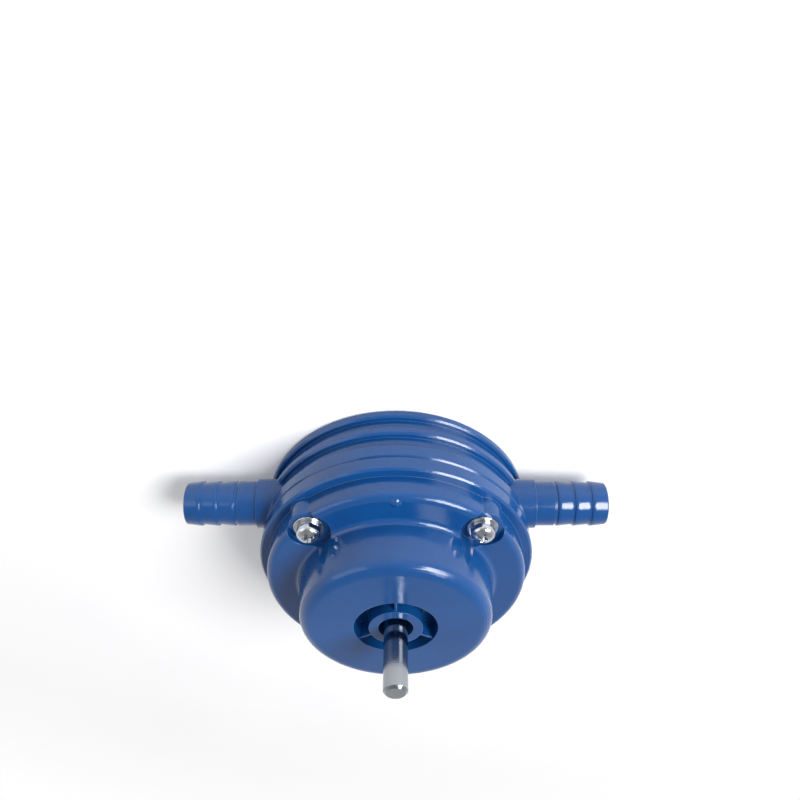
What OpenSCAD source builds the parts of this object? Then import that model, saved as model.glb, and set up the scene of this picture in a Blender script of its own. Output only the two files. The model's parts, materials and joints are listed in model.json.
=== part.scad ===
// Self-priming vane pump that an electric drill turns.
// The pump stands on its flat back, with the shaft up along +Z. The hose tails lie along X, on the -Y side.
// Heights are measured from the back face, and all lengths are in millimetres.

/* [Pump body] */
// Distance from the screws' centres to the edge of the rings and of the cover's flange
flange_margin = 10; // [9:0.25:11]
// How far the rings stand out from the body's wall
ring_proud = 2.5; // [1.75:0.25:3]
// Thickness of the body's outer wall
drum_wall = 3.5; // [2.8:0.1:3.8]
// Height of the joint between body and cover, above the port bosses
joint_lift = 0.5; // [0.4:0.1:2]
// Thickness of the floor round the chamber
floor_thickness = 3.5; // [2.5:0.1:4]
// Height of the ring at the back
back_ring_depth = 4; // [3:0.5:5]
// Height of the middle ring's lower edge
middle_ring_height = 10; // [8:0.5:12]
// Width of the middle ring
middle_ring_depth = 4; // [3:0.5:5]
// Width of the ring under the joint
joint_ring_depth = 6.5; // [5:0.5:8]
// Chamfer on the edges of the rings and of the flange
edge_chamfer = 0.8; // [0.4:0.1:1.2]
// Depth of the recess in the back face
back_recess_depth = 3; // [2:0.25:3.5]
// Outer diameter of the recess in the back face
back_recess_d = 62; // [54:1:66]
// Diameter of the boss behind the rear bush
bush_boss_d = 26; // [22:1:30]
// Number of ribs in the back recess
back_rib_count = 8; // [4:1:12]
// Number of ribs between the chamber and the outer wall
body_rib_count = 12; // [6:2:16]
// Thickness of the body's ribs
body_rib = 2.2; // [1.6:0.1:3]

/* [Pump chamber] */
// Widest gap between the rotor and the chamber's wall
widest_gap = 9.7; // [8.7:0.1:10.7]
// Least gap between the rotor and the chamber's wall
rotor_gap = 0.3; // [0.2:0.05:0.5]
// Height of the chamber's floor
chamber_floor = 8; // [7.5:0.25:8.5]
// Thickness of the chamber's wall
chamber_wall = 5; // [4.5:0.1:5.2]
// Thickness of the plate that closes the chamber
plate_thickness = 4; // [3:0.25:5]
// Diameter of the hole for the shaft in the chamber plate
plate_hole_d = 12; // [11:0.25:14]

/* [Rotor and vanes] */
// Diameter of the rotor
rotor_d = 60; // [58:0.5:61]
// Diameter of the rotor's core, inside the slots
rotor_core_d = 24; // [23:0.25:26]
// Gap at each end face of the rotor
rotor_face_gap = 0.25; // [0.15:0.05:0.4]
// Number of holes that lighten the rotor
rotor_hole_count = 4; // [4:4:4]
// Diameter of the holes that lighten the rotor
rotor_hole_d = 9; // [6:0.5:11]
// Distance of those holes' centres from the rotor's rim
rotor_hole_inset = 9.5; // [8:0.5:11]
// Thickness of a vane
vane_thickness = 4; // [3:0.25:5]
// Gap between a vane and each side of its slot
vane_side_gap = 0.1; // [0.05:0.01:0.2]
// Free travel of a vane into its slot
vane_travel = 2; // [1:0.25:2.5]
// Diameter of the pin that drives the rotor
drive_pin_d = 3; // [2.5:0.25:4]
// Length of the pin that drives the rotor
drive_pin_length = 18; // [14:0.5:20]

/* [Hose tails] */
// Length of a hose tail outside its port
tail_length = 30.5; // [29:0.5:37]
// Diameter over the barbs, for a 19 mm hose
tail_d = 19; // [17:0.25:19.5]
// Depth of the barbs
barb_depth = 0.5; // [0.3:0.05:0.8]
// Number of barbs on a tail
barb_count = 3; // [2:1:3]
// Distance from barb to barb
barb_pitch = 7.1; // [6:0.1:8]
// Width of the flat on top of a barb
barb_land = 1.2; // [0.8:0.1:2]
// Width of the groove behind the innermost barb
barb_groove = 1.2; // [0.8:0.1:1.8]
// Distance from the tail's end to the first barb's step
first_barb = 6.9; // [5:0.1:8]
// Diameter of the bore
tail_bore = 13; // [11:0.25:14]
// Height of the tails' axis
tail_height = 16; // [15.5:0.25:16.25]
// Distance of the tails' axis from the shaft's axis
tail_offset = 18.4; // [16:0.2:20]
// Diameter of the spigot that is bonded into the body
spigot_d = 17; // [16:0.25:17.5]
// Depth of the socket in the body
socket_depth = 12.5; // [10:0.5:14]
// Diameter of the port boss round the socket
port_boss_d = 21; // [20.5:0.25:21.5]
// How far the port boss stands out past the flange
port_boss_proud = 1; // [0.5:0.25:2]

/* [Front cover] */
// Thickness of the cover's flange
cover_flange_depth = 7; // [6:0.5:9]
// Width of the ledge between the shoulder and the flange's edge
shoulder_ledge = 4; // [3.5:0.25:5]
// Height of the shoulder above the flange
shoulder_height = 10.5; // [9.5:0.5:12]
// Rounding of the shoulder's edge
shoulder_round = 3; // [2.75:0.25:3.5]
// Distance from the screws' centres to the foot of the nose
nose_inset = 8; // [7.5:0.25:8.5]
// How much the nose's radius shrinks from its foot to its face
nose_draft = 1.25; // [1:0.25:2.75]
// Height of the nose above the shoulder
nose_height = 21; // [20.5:0.5:26]
// Rounding of the nose's front edge
nose_round = 5; // [3.5:0.25:5.5]
// Fillet between shoulder and nose
nose_fillet = 2.5; // [1:0.25:3]
// Thickness of the nose's wall
nose_wall = 3.5; // [2.8:0.1:4.5]
// Thickness of the nose's face
face_thickness = 4; // [3:0.25:5]
// Outer diameter of the ring-shaped recess in the face
recess_outer_d = 33.6; // [32:0.2:35]
// Inner diameter of that recess
recess_inner_d = 21.6; // [20:0.2:23]
// Depth of that recess
recess_depth = 8; // [5:0.5:9]
// Number of thin ribs across the recess
recess_rib_count = 3; // [3:1:6]
// Thickness of those ribs
recess_rib = 0.9; // [0.6:0.1:1.5]
// Diameter of the opening round the shaft
shaft_opening_d = 14; // [13:0.25:16]
// Diameter of the hub behind the face
hub_d = 41; // [39:0.5:44]
// Number of ribs between the hub and the nose's wall
nose_rib_count = 6; // [4:1:8]
// Thickness of the ribs inside the nose
nose_rib = 2.4; // [1.8:0.1:3]

/* [Cover screws] */
// Number of cover screws
screw_count = 4; // [4:4:4]
// Distance from the chamber's wall to the screws' centres
screw_clearance = 8; // [7.5:0.25:8.5]
// Diameter of a screw's shank
screw_d = 5; // [4:0.25:5.5]
// Length of a screw under its head
screw_length = 25; // [22:0.5:26]
// Diameter of a screw's head
screw_head_d = 9.5; // [8.5:0.1:10.5]
// Height of a screw's head
screw_head_height = 5.4; // [5:0.1:6]
// How much of that height is the straight side below the dome
head_side_share = 0.55; // [0.4:0.05:0.7]
// Diameter of the washer under a head
washer_d = 12.4; // [11:0.1:13]
// Thickness of the washer under a head
washer_thickness = 1; // [0.8:0.1:1.4]
// Width of the cross slots in a head
cross_width = 1.3; // [0.9:0.1:1.6]
// Length of the cross slots in a head
cross_length = 5.2; // [4:0.1:6]
// Depth of the cross slots in a head
cross_depth = 2; // [1:0.1:2.5]
// Diameter of the pocket round a head
pocket_d = 17.6; // [17.4:0.1:18.4]
// Depth of the pocket round a head
pocket_depth = 2.5; // [2.3:0.1:2.7]
// Diameter of the lobe that carries a head
lobe_d = 16; // [14:0.25:17]
// Distance of the round pip from the shoulder's edge
pip_inset = 4; // [3.5:0.25:5]
// Radius of that pip
pip_r = 3; // [2.5:0.1:3.5]
// Diameter of the boss that holds a screw in the body
screw_boss_d = 12.4; // [10:0.2:13]
// Outer diameter of a threaded insert
insert_d = 7.2; // [6.8:0.1:7.8]
// Length of a threaded insert
insert_length = 8; // [6:0.5:9]

/* [Shaft and bearings] */
// Diameter of the drive shaft, 3/8 inch
shaft_d = 9.525; // [9:0.025:10]
// Free length of the shaft in front of the nose
shaft_reach = 27.5; // [24:0.5:34]
// Diameter of the journal in the rear bush
journal_d = 8; // [7:0.25:8.5]
// Outer diameter of the rear bush
bush_d = 14; // [12:0.25:16]
// Thickness of the wall behind the rear bush
bush_back = 2; // [1.5:0.1:3]
// Chamfer at the ends of the shaft
shaft_chamfer = 1; // [0.5:0.1:1.5]
// Outer diameter of the ball bearing
bearing_d = 22.225; // [22:0.025:22.5]
// Width of the ball bearing
bearing_width = 7.14; // [6:0.02:8]
// Number of balls
ball_count = 7; // [6:1:8]
// Diameter of a ball
ball_d = 3.968; // [3.5:0.004:4]
// Thickness of each ring of the bearing at its edges
bearing_ring = 2.25; // [2:0.05:2.4]
// How far the circlip stands into its groove round the bearing's seat
circlip_bite = 0.44; // [0.3:0.02:0.6]
// Distance from the nose's face to the bearing
bearing_place = 10.86; // [9.5:0.02:12]

/* [Seals] */
// Outer diameter of the shaft seal
seal_d = 24; // [23.6:0.1:25]
// Width of the shaft seal
seal_width = 7; // [6:0.25:8]
// Thickness of the shaft seal's steel case
seal_case = 1; // [0.7:0.05:1.3]
// Thickness of the cord of the ring between body and cover
cover_ring_cord = 2.4; // [1.8:0.1:2.6]
// Thickness of the cord of the ring under the chamber plate
chamber_ring_cord = 1.8; // [1.4:0.1:2.2]

/* [Inlet strainer] */
// Thickness of the strainer's rim and wall
strainer_wall = 1.2; // [0.8:0.1:1.5]
// Length of the strainer's thimble
strainer_length = 12; // [8:0.5:14]
// Number of slots in the strainer
strainer_slots = 6; // [4:1:8]
// Width of those slots
strainer_slot = 1.6; // [1:0.1:2.2]

/* [Hidden] */
// Facets on a full circle
$fn = 96;
// Steps in a quarter of a rounded edge
round_steps = 6;
// How far each cut runs past the faces that it opens
cut_over = 1;
// Gap round pieces that are pressed or bonded in
seat_gap = 0.02;
// Gap round pieces that turn in each other
running_gap = 0.05;
// Gap round pieces that lie loose in a seat
loose_gap = 0.3;

rotor_r = rotor_d / 2;
chamber_r = rotor_r + (widest_gap + rotor_gap) / 2;
// The chamber lies off the shaft's axis, so that the rotor nearly touches its wall between the ports
chamber_shift = chamber_r - rotor_r - rotor_gap;
chamber_out_r = chamber_r + chamber_wall;
screw_place = chamber_out_r + screw_clearance;
flange_r = screw_place + flange_margin;
drum_r = flange_r - ring_proud;
cavity_r = drum_r - drum_wall;
joint_height = tail_height + port_boss_d / 2 + joint_lift;
rings = [
    [0, back_ring_depth],
    [middle_ring_height, middle_ring_height + middle_ring_depth],
    [joint_height - joint_ring_depth, joint_height]
];

tail_r = tail_d / 2;
root_r = tail_r - barb_depth;
port_face = flange_r + port_boss_proud;
socket_end = port_face - socket_depth;
tail_end = port_face + tail_length;
plain_end = tail_end - first_barb - (barb_count - 1) * barb_pitch - barb_groove;

flange_top = joint_height + cover_flange_depth;
shoulder_top = flange_top + shoulder_height;
shoulder_r = flange_r - shoulder_ledge;
pip_place = shoulder_r - pip_inset;
face_height = shoulder_top + nose_height;
nose_base_r = screw_place - nose_inset;
nose_face_r = nose_base_r - nose_draft;
plate_top = joint_height + plate_thickness;
plate_r = chamber_out_r;
cavity_top = face_height - face_thickness;
nose_cavity_r = nose_face_r - nose_wall;
screw_seat = shoulder_top - pocket_depth;
head_seat = screw_seat + washer_thickness;

shaft_r = shaft_d / 2;
shaft_tip = face_height + shaft_reach;
bearing_top = face_height - bearing_place;
bearing_bottom = bearing_top - bearing_width;
bearing_r = bearing_d / 2;
ball_r = ball_d / 2;
ball_circle_r = (bearing_r + shaft_r) / 2;
groove_r = ball_r + running_gap;
circlip_thickness = bearing_ring / 2;
circlip_gap_angle = 36;
seal_bottom = plate_top + loose_gap;
seal_top = seal_bottom + seal_width;

rotor_bottom = chamber_floor + rotor_face_gap;
rotor_top = joint_height - rotor_face_gap;
rotor_height = rotor_top - rotor_bottom;
slot_bottom_r = rotor_core_d / 2;
vane_length = rotor_r - slot_bottom_r - vane_travel;
rotor_hole_place = rotor_r - rotor_hole_inset;
pin_height = rotor_top - drive_pin_d;

strainer_r = tail_bore / 2 - loose_gap;

plastic_blue = "#1f4f9e";
insert_blue = "#2a5cb0";
steel_grey = "#b9bec4";

// Points of an arc, for an outline
function arc(centre, r, from, to) =
    [for (i = [0:round_steps]) centre + r * [cos(from + (to - from) * i / round_steps),
                                             sin(from + (to - from) * i / round_steps)]];

// Outline of one ring round the body, from its lower edge to its upper edge
function ring_outline(low, high) = [
    [drum_r, low],
    [flange_r - edge_chamfer, low],
    [flange_r, low + edge_chamfer],
    [flange_r, high - edge_chamfer],
    [flange_r - edge_chamfer, high],
    [drum_r, high]
];

// A plain tube that stands on the height low
module tube(outer_r, inner_r, low, high) {
    translate([0, 0, low])
        difference() {
            cylinder(r = outer_r, h = high - low);
            translate([0, 0, -cut_over])
                cylinder(r = inner_r, h = high - low + 2 * cut_over);
        }
}

// A rod between two heights
module rod(r, low, high) {
    translate([0, 0, low])
        cylinder(r = r, h = high - low);
}

// A dome that stands on the height 0, with a straight side below it where one is given
module dome(r, height, side = 0) {
    dome_steps = 2 * round_steps;
    rise = height - side;
    rotate_extrude()
        polygon(concat(
            side > 0 ? [[0, 0], [r, 0]] : [[0, 0]],
            [for (i = [0:dome_steps]) [r * cos(90 * i / dome_steps), side + rise * sin(90 * i / dome_steps)]]
        ));
}

// Upright ribs round the axis, between two radii
module ribs(count, thickness, from_r, to_r, low, high, first = 0) {
    for (i = [0:count - 1])
        rotate([0, 0, first + 360 * i / count])
            translate([from_r, -thickness / 2, low])
                cube([to_r - from_r, thickness, high - low]);
}

// Places its children at each cover screw
module at_screws() {
    for (i = [0:screw_count - 1])
        rotate([0, 0, 180 / screw_count + 360 * i / screw_count])
            translate([screw_place, 0, 0])
                children();
}

// Places its children on the tails' axis: side 1 is the inlet, side -1 the outlet, and +Z runs outwards
module at_port(side) {
    translate([0, -tail_offset, tail_height])
        rotate([0, side * 90, 0])
            children();
}

// A round ring of rubber cord that fills its groove
module cord_ring(centre_r, cord, top) {
    translate([0, 0, top - cord / 2])
        rotate_extrude()
            translate([centre_r, 0])
                circle(d = cord - 2 * seat_gap);
}

// An open ring of spring steel, between two radii
module circlip(outer_r, inner_r, low) {
    translate([0, 0, low])
        rotate_extrude(angle = 360 - circlip_gap_angle)
            translate([inner_r, 0])
                square([outer_r - inner_r, circlip_thickness]);
}

module drum_outside() {
    rotate_extrude()
        polygon(concat(
            [[0, 0]],
            [for (ring = rings) each ring_outline(ring[0], ring[1])],
            [[0, joint_height]]
        ));
}

// The hollow between the chamber and the outer wall
module body_cavity() {
    difference() {
        rod(cavity_r, floor_thickness, joint_height + cut_over);
        translate([0, chamber_shift, 0])
            rod(chamber_out_r, 0, joint_height + 2 * cut_over);
        ribs(body_rib_count, body_rib, chamber_r, drum_r, 0, joint_height - body_rib, 180 / body_rib_count);
        at_screws()
            rod(screw_boss_d / 2, 0, joint_height + 2 * cut_over);
        for (side = [-1, 1])
            at_port(side)
                rod(port_boss_d / 2, 0, port_face);
    }
}

module pump_body() {
    color(plastic_blue)
        difference() {
            union() {
                difference() {
                    drum_outside();
                    body_cavity();
                }
                for (side = [-1, 1])
                    at_port(side)
                        rod(port_boss_d / 2, cavity_r - socket_depth, port_face);
            }
            // Chamber
            translate([0, chamber_shift, 0])
                rod(chamber_r, chamber_floor, joint_height + cut_over);
            // Ports and the sockets of the hose tails
            for (side = [-1, 1])
                at_port(side) {
                    rod(tail_bore / 2, tail_bore, port_face);
                    rod(spigot_d / 2 + seat_gap, socket_end, port_face + cut_over);
                }
            // Pocket of the rear bush
            rod(bush_d / 2 + seat_gap, bush_back, chamber_floor + cut_over);
            // Recess in the back face, with its ribs left standing
            difference() {
                tube(back_recess_d / 2, bush_boss_d / 2, -cut_over, back_recess_depth);
                ribs(back_rib_count, body_rib, 0, back_recess_d / 2, -2 * cut_over, back_recess_depth);
            }
            // Screw holes with the seats of the inserts
            at_screws() {
                rod(insert_d / 2 + seat_gap, joint_height - insert_length - loose_gap, joint_height + cut_over);
                rod(screw_d / 2 + loose_gap, head_seat - screw_length - loose_gap, joint_height);
            }
            // Grooves of the two rubber rings
            tube(
                (cavity_r + flange_r + cover_ring_cord) / 2,
                (cavity_r + flange_r - cover_ring_cord) / 2,
                joint_height - cover_ring_cord, joint_height + cut_over
            );
            translate([0, chamber_shift, 0])
                tube(
                    (chamber_r + chamber_out_r + chamber_ring_cord) / 2,
                    (chamber_r + chamber_out_r - chamber_ring_cord) / 2,
                    joint_height - chamber_ring_cord, joint_height + cut_over
                );
        }
}

module cover_ring_seal() {
    color("#202022")
        cord_ring((cavity_r + flange_r) / 2, cover_ring_cord, joint_height);
}

module chamber_ring_seal() {
    color("#202022")
        translate([0, chamber_shift, 0])
            cord_ring((chamber_r + chamber_out_r) / 2, chamber_ring_cord, joint_height);
}

module chamber_plate() {
    color("#d8d6cc")
        difference() {
            translate([0, chamber_shift, 0])
                rod(plate_r, joint_height, plate_top);
            rod(plate_hole_d / 2, joint_height - cut_over, plate_top + cut_over);
        }
}

// A hose tail, with its end at the height given by the span
module hose_tail_shape() {
    difference() {
        rotate_extrude()
            polygon(concat(
                [[0, socket_end + strainer_wall + 2 * seat_gap]],
                [[spigot_d / 2, socket_end + strainer_wall + 2 * seat_gap]],
                [[spigot_d / 2, port_face]],
                [[tail_r, port_face]],
                [[tail_r, plain_end]],
                [[root_r, plain_end]],
                [for (i = [barb_count - 1:-1:0])
                    each [
                        [root_r, tail_end - first_barb - i * barb_pitch],
                        [tail_r, tail_end - first_barb - i * barb_pitch],
                        [tail_r, tail_end - first_barb - i * barb_pitch + barb_land],
                        [root_r, tail_end - first_barb - i * barb_pitch + barb_pitch - barb_land]
                    ]],
                [[root_r - barb_depth, tail_end]],
                [[0, tail_end]]
            ));
        rod(tail_bore / 2, 0, tail_end + cut_over);
    }
}

module inlet_hose_tail() {
    color(plastic_blue)
        at_port(1)
            hose_tail_shape();
}

module outlet_hose_tail() {
    color(plastic_blue)
        at_port(-1)
            hose_tail_shape();
}

module inlet_strainer() {
    thimble_end = socket_end - strainer_length;
    color("#e6e6e0")
        at_port(1)
            difference() {
                union() {
                    rod(spigot_d / 2, socket_end + seat_gap, socket_end + strainer_wall + seat_gap);
                    rod(strainer_r, thimble_end, socket_end + strainer_wall);
                }
                rod(strainer_r - strainer_wall, thimble_end + strainer_wall, port_face);
                // Slots along the thimble and across its end
                ribs(
                    strainer_slots, strainer_slot, -cut_over, strainer_r + cut_over,
                    thimble_end + strainer_wall, socket_end - strainer_wall
                );
                for (i = [0:strainer_slots - 1])
                    rotate([0, 0, 180 / strainer_slots + 360 * i / strainer_slots])
                        translate([strainer_r / 2, 0, 0])
                            rod(strainer_slot / 2, thimble_end - cut_over, thimble_end + 2 * strainer_wall);
            }
}

module cover_outside() {
    nose_edge = nose_face_r - nose_round;
    rotate_extrude()
        polygon(concat(
            [[0, joint_height]],
            [[flange_r - edge_chamfer, joint_height]],
            [[flange_r, joint_height + edge_chamfer]],
            [[flange_r, flange_top - edge_chamfer]],
            [[flange_r - edge_chamfer, flange_top]],
            [[shoulder_r, flange_top]],
            arc([shoulder_r - shoulder_round, shoulder_top - shoulder_round], shoulder_round, 0, 90),
            arc([nose_base_r + nose_fillet, shoulder_top + nose_fillet], nose_fillet, 270, 180),
            arc([nose_edge, face_height - nose_round], nose_round, 0, 90),
            [[0, face_height]]
        ));
}

// The hollow of the nose round the hub
module nose_cavity() {
    difference() {
        rod(nose_cavity_r, plate_top - cut_over, cavity_top);
        rod(hub_d / 2, 0, face_height);
        ribs(nose_rib_count, nose_rib, 0, nose_base_r, 0, face_height, 180 / nose_rib_count);
    }
}

module front_cover() {
    color(plastic_blue)
        difference() {
            union() {
                cover_outside();
                at_screws()
                    rod(lobe_d / 2, flange_top - cover_flange_depth / 2, shoulder_top - pocket_depth / 2);
                // Round pip on the shoulder
                translate([0, -pip_place, screw_seat])
                    dome(pip_r, pip_r / 3 + pocket_depth);
            }
            // Seat of the chamber plate
            translate([0, chamber_shift, 0])
                rod(plate_r + loose_gap, joint_height - cut_over, plate_top);
            nose_cavity();
            // Seats of the shaft seal and the bearing, and the opening round the shaft
            rod(seal_d / 2 + seat_gap, plate_top - cut_over, seal_top);
            rod(bearing_r + seat_gap, seal_top - cut_over, bearing_top);
            rod(shaft_opening_d / 2, bearing_top - cut_over, face_height + cut_over);
            // Groove of the circlip that keeps the bearing in
            rod(
                bearing_r + circlip_bite + seat_gap,
                bearing_bottom - circlip_thickness - 2 * seat_gap, bearing_bottom
            );
            // Recess in the face, crossed by thin ribs
            difference() {
                tube(recess_outer_d / 2, recess_inner_d / 2, face_height - recess_depth, face_height + cut_over);
                ribs(
                    recess_rib_count, recess_rib, 0, recess_outer_d,
                    face_height - recess_depth - cut_over, face_height - recess_rib, -90
                );
            }
            // Screw holes, and the pockets that give a screwdriver room past the nose
            at_screws() {
                rod(screw_d / 2 + loose_gap, joint_height - cut_over, shoulder_top);
                rod(pocket_d / 2, screw_seat, face_height + cut_over);
            }
        }
}

// A domed screw with a cross slot, its seat at the height 0
module screw_shape() {
    difference() {
        union() {
            dome(screw_head_d / 2, screw_head_height, screw_head_height * head_side_share);
            rod(screw_d / 2, -screw_length, screw_head_height / 2);
        }
        for (turn = [0, 90])
            rotate([0, 0, turn])
                translate([-cross_length / 2, -cross_width / 2, screw_head_height - cross_depth])
                    cube([cross_length, cross_width, cross_depth + cut_over]);
    }
}

module cover_screws() {
    color(steel_grey)
        at_screws()
            translate([0, 0, head_seat])
                screw_shape();
}

module screw_washers() {
    color(steel_grey)
        at_screws()
            tube(washer_d / 2, screw_d / 2 + loose_gap / 2, screw_seat, head_seat);
}

module screw_inserts() {
    color("#b08d3e")
        at_screws()
            tube(insert_d / 2, screw_d / 2 + seat_gap, joint_height - insert_length, joint_height - loose_gap);
}

module rear_bush() {
    color("#a9793a")
        tube(bush_d / 2, journal_d / 2 + running_gap, bush_back, chamber_floor);
}

module drive_shaft() {
    groove_depth = shaft_chamfer / 2;
    groove_places = [bearing_bottom - circlip_thickness - seat_gap, bearing_top];
    color(steel_grey)
        difference() {
            rotate_extrude()
                polygon([
                    [0, bush_back + loose_gap],
                    [journal_d / 2 - groove_depth, bush_back + loose_gap],
                    [journal_d / 2, bush_back + loose_gap + groove_depth],
                    [journal_d / 2, rotor_bottom],
                    [shaft_r, rotor_bottom],
                    [shaft_r, shaft_tip - shaft_chamfer],
                    [shaft_r - shaft_chamfer, shaft_tip],
                    [0, shaft_tip]
                ]);
            for (place = groove_places)
                tube(
                    shaft_r + cut_over, shaft_r - groove_depth,
                    place, place + circlip_thickness + 2 * seat_gap
                );
            translate([0, 0, pin_height])
                rotate([90, 0, 180 / screw_count])
                    cylinder(d = drive_pin_d + 2 * seat_gap, h = shaft_d + cut_over, center = true);
        }
}

module shaft_circlips() {
    inner_r = shaft_r - shaft_chamfer / 2 + seat_gap;
    outer_r = shaft_opening_d / 2 - loose_gap;
    color("#3a3d42") {
        circlip(outer_r, inner_r, bearing_bottom - circlip_thickness);
        circlip(outer_r, inner_r, bearing_top + seat_gap);
    }
}

module bearing_circlip() {
    color("#3a3d42")
        circlip(
            bearing_r + circlip_bite,
            bearing_r - bearing_ring / 2,
            bearing_bottom - circlip_thickness - seat_gap
        );
}

module rotor_drive_pin() {
    color(steel_grey)
        translate([0, 0, pin_height])
            rotate([90, 0, 180 / screw_count])
                cylinder(d = drive_pin_d, h = drive_pin_length, center = true);
}

module rotor() {
    pin_slot = drive_pin_d + 2 * vane_side_gap;
    pin_slot_length = drive_pin_length + 2 * loose_gap;
    slot_width = vane_thickness + 2 * vane_side_gap;
    color("#e9e7de")
        difference() {
            rod(rotor_r, rotor_bottom, rotor_top);
            rod(shaft_r + seat_gap, rotor_bottom - cut_over, rotor_top + cut_over);
            ribs(4, slot_width, slot_bottom_r, rotor_d, rotor_bottom - cut_over, rotor_top + cut_over);
            rotate([0, 0, 180 / screw_count])
                translate([-pin_slot / 2, -pin_slot_length / 2, pin_height - pin_slot / 2])
                    cube([pin_slot, pin_slot_length, rotor_height]);
            for (i = [0:rotor_hole_count - 1])
                rotate([0, 0, 180 / rotor_hole_count + 360 * i / rotor_hole_count])
                    translate([rotor_hole_place, 0, 0])
                        rod(rotor_hole_d / 2, rotor_bottom - cut_over, rotor_top + cut_over);
        }
}

// A vane with a rounded tip, in the slot at the given angle
module vane(turn) {
    tip_r = vane_thickness / 2;
    color("#2b2c30")
        rotate([0, 0, turn])
            union() {
                translate([rotor_r - vane_length, -tip_r, rotor_bottom])
                    cube([vane_length - tip_r, vane_thickness, rotor_height]);
                translate([rotor_r - tip_r, 0, 0])
                    rod(tip_r, rotor_bottom, rotor_top);
            }
}

module vane_1() {
    vane(0);
}

module vane_2() {
    vane(90);
}

module vane_3() {
    vane(180);
}

module vane_4() {
    vane(270);
}

// One ring of the ball bearing, with the groove that its balls run in
module bearing_ring_shape(outer_r, inner_r) {
    difference() {
        tube(outer_r, inner_r, bearing_bottom, bearing_top);
        translate([0, 0, (bearing_bottom + bearing_top) / 2])
            rotate_extrude()
                translate([ball_circle_r, 0])
                    circle(r = groove_r);
    }
}

module bearing_outer_ring() {
    color(steel_grey)
        bearing_ring_shape(bearing_r, bearing_r - bearing_ring);
}

module bearing_inner_ring() {
    color(steel_grey)
        bearing_ring_shape(shaft_r + bearing_ring, shaft_r + seat_gap);
}

// Places its children at each ball
module at_balls() {
    for (i = [0:ball_count - 1])
        rotate([0, 0, 360 * i / ball_count])
            translate([ball_circle_r, 0, (bearing_bottom + bearing_top) / 2])
                children();
}

module bearing_balls() {
    color("#d5d9de")
        at_balls()
            sphere(d = ball_d);
}

module bearing_cage() {
    half_wall = (bearing_r - shaft_r - 2 * bearing_ring) / 2 - loose_gap;
    color("#c9b57a")
        difference() {
            tube(
                ball_circle_r + half_wall, ball_circle_r - half_wall,
                bearing_bottom + loose_gap, bearing_top - loose_gap
            );
            at_balls()
                rotate([0, 90, 0])
                    cylinder(r = ball_r + running_gap, h = bearing_d / 2, center = true);
        }
}

module seal_case_ring() {
    color("#8f959c")
        union() {
            tube(seal_d / 2, seal_d / 2 - seal_case, seal_bottom, seal_top);
            tube(seal_d / 2, shaft_r + 2 * seal_case, seal_top - seal_case, seal_top);
        }
}

// Radius and height of the garter ring's cord centre
garter_r = shaft_r + 3 * seal_case;
garter_height = seal_bottom + 2 * seal_case;
garter_cord = 1.2 * seal_case;

module seal_lip() {
    lip_r = shaft_r + running_gap;
    web_top = seal_top - seal_case - seat_gap;
    color("#1c1c1e")
        difference() {
            rotate_extrude()
                polygon([
                    [lip_r, garter_height],
                    [lip_r + seal_case, seal_bottom],
                    [garter_r, seal_bottom],
                    [garter_r, web_top - seal_case],
                    [seal_d / 2 - seal_case - seat_gap, web_top - seal_case],
                    [seal_d / 2 - seal_case - seat_gap, web_top],
                    [garter_r - seal_case, web_top]
                ]);
            translate([0, 0, garter_height])
                rotate_extrude()
                    translate([garter_r, 0])
                        circle(d = garter_cord + 2 * seat_gap);
        }
}

module seal_garter_ring() {
    color("#b9bec4")
        translate([0, 0, garter_height])
            rotate_extrude()
                translate([garter_r, 0])
                    circle(d = garter_cord);
}

pump_body();
front_cover();
inlet_hose_tail();
outlet_hose_tail();
cover_screws();
screw_washers();
screw_inserts();
cover_ring_seal();
chamber_plate();
chamber_ring_seal();
inlet_strainer();
rear_bush();
drive_shaft();
rotor();
rotor_drive_pin();
shaft_circlips();
vane_1();
vane_2();
vane_3();
vane_4();
bearing_outer_ring();
bearing_inner_ring();
bearing_balls();
bearing_cage();
bearing_circlip();
seal_case_ring();
seal_lip();
seal_garter_ring();
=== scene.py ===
# %% [markdown]
# # A drill-driven vane pump in blue plastic
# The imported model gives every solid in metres, in one frame: +Z runs out of the nose along the shaft, and the
# hose tails lie along X. This lesson keeps the solids that already have the right shape, makes the pieces that
# need a finer form, and gives every surface the finish of its real material.

# %% Load the frame
import bpy
import bmesh
import json
import math
from mathutils import Matrix, Vector


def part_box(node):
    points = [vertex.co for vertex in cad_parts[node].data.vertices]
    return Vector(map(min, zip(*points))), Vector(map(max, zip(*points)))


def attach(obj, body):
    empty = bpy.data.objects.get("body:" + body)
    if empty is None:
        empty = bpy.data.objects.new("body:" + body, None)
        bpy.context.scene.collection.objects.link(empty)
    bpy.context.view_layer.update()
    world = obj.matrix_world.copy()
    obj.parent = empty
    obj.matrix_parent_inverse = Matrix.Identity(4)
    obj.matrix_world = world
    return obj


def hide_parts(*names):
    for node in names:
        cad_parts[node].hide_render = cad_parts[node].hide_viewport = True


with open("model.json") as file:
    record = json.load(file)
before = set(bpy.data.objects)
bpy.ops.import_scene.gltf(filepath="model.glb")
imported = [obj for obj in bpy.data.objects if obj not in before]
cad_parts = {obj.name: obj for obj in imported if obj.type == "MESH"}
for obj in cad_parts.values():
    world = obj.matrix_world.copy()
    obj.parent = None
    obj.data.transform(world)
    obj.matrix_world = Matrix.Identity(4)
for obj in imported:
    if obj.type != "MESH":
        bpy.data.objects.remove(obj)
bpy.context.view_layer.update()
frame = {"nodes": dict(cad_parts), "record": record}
MM = 0.001

# %% [markdown]
# ## Sizes
# A new piece has to sit exactly where the old one was, so its heights and radii are read off the boxes of the
# solids. Only the circle that the screws stand on is given as a number, because a box doesn't show it.

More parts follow.
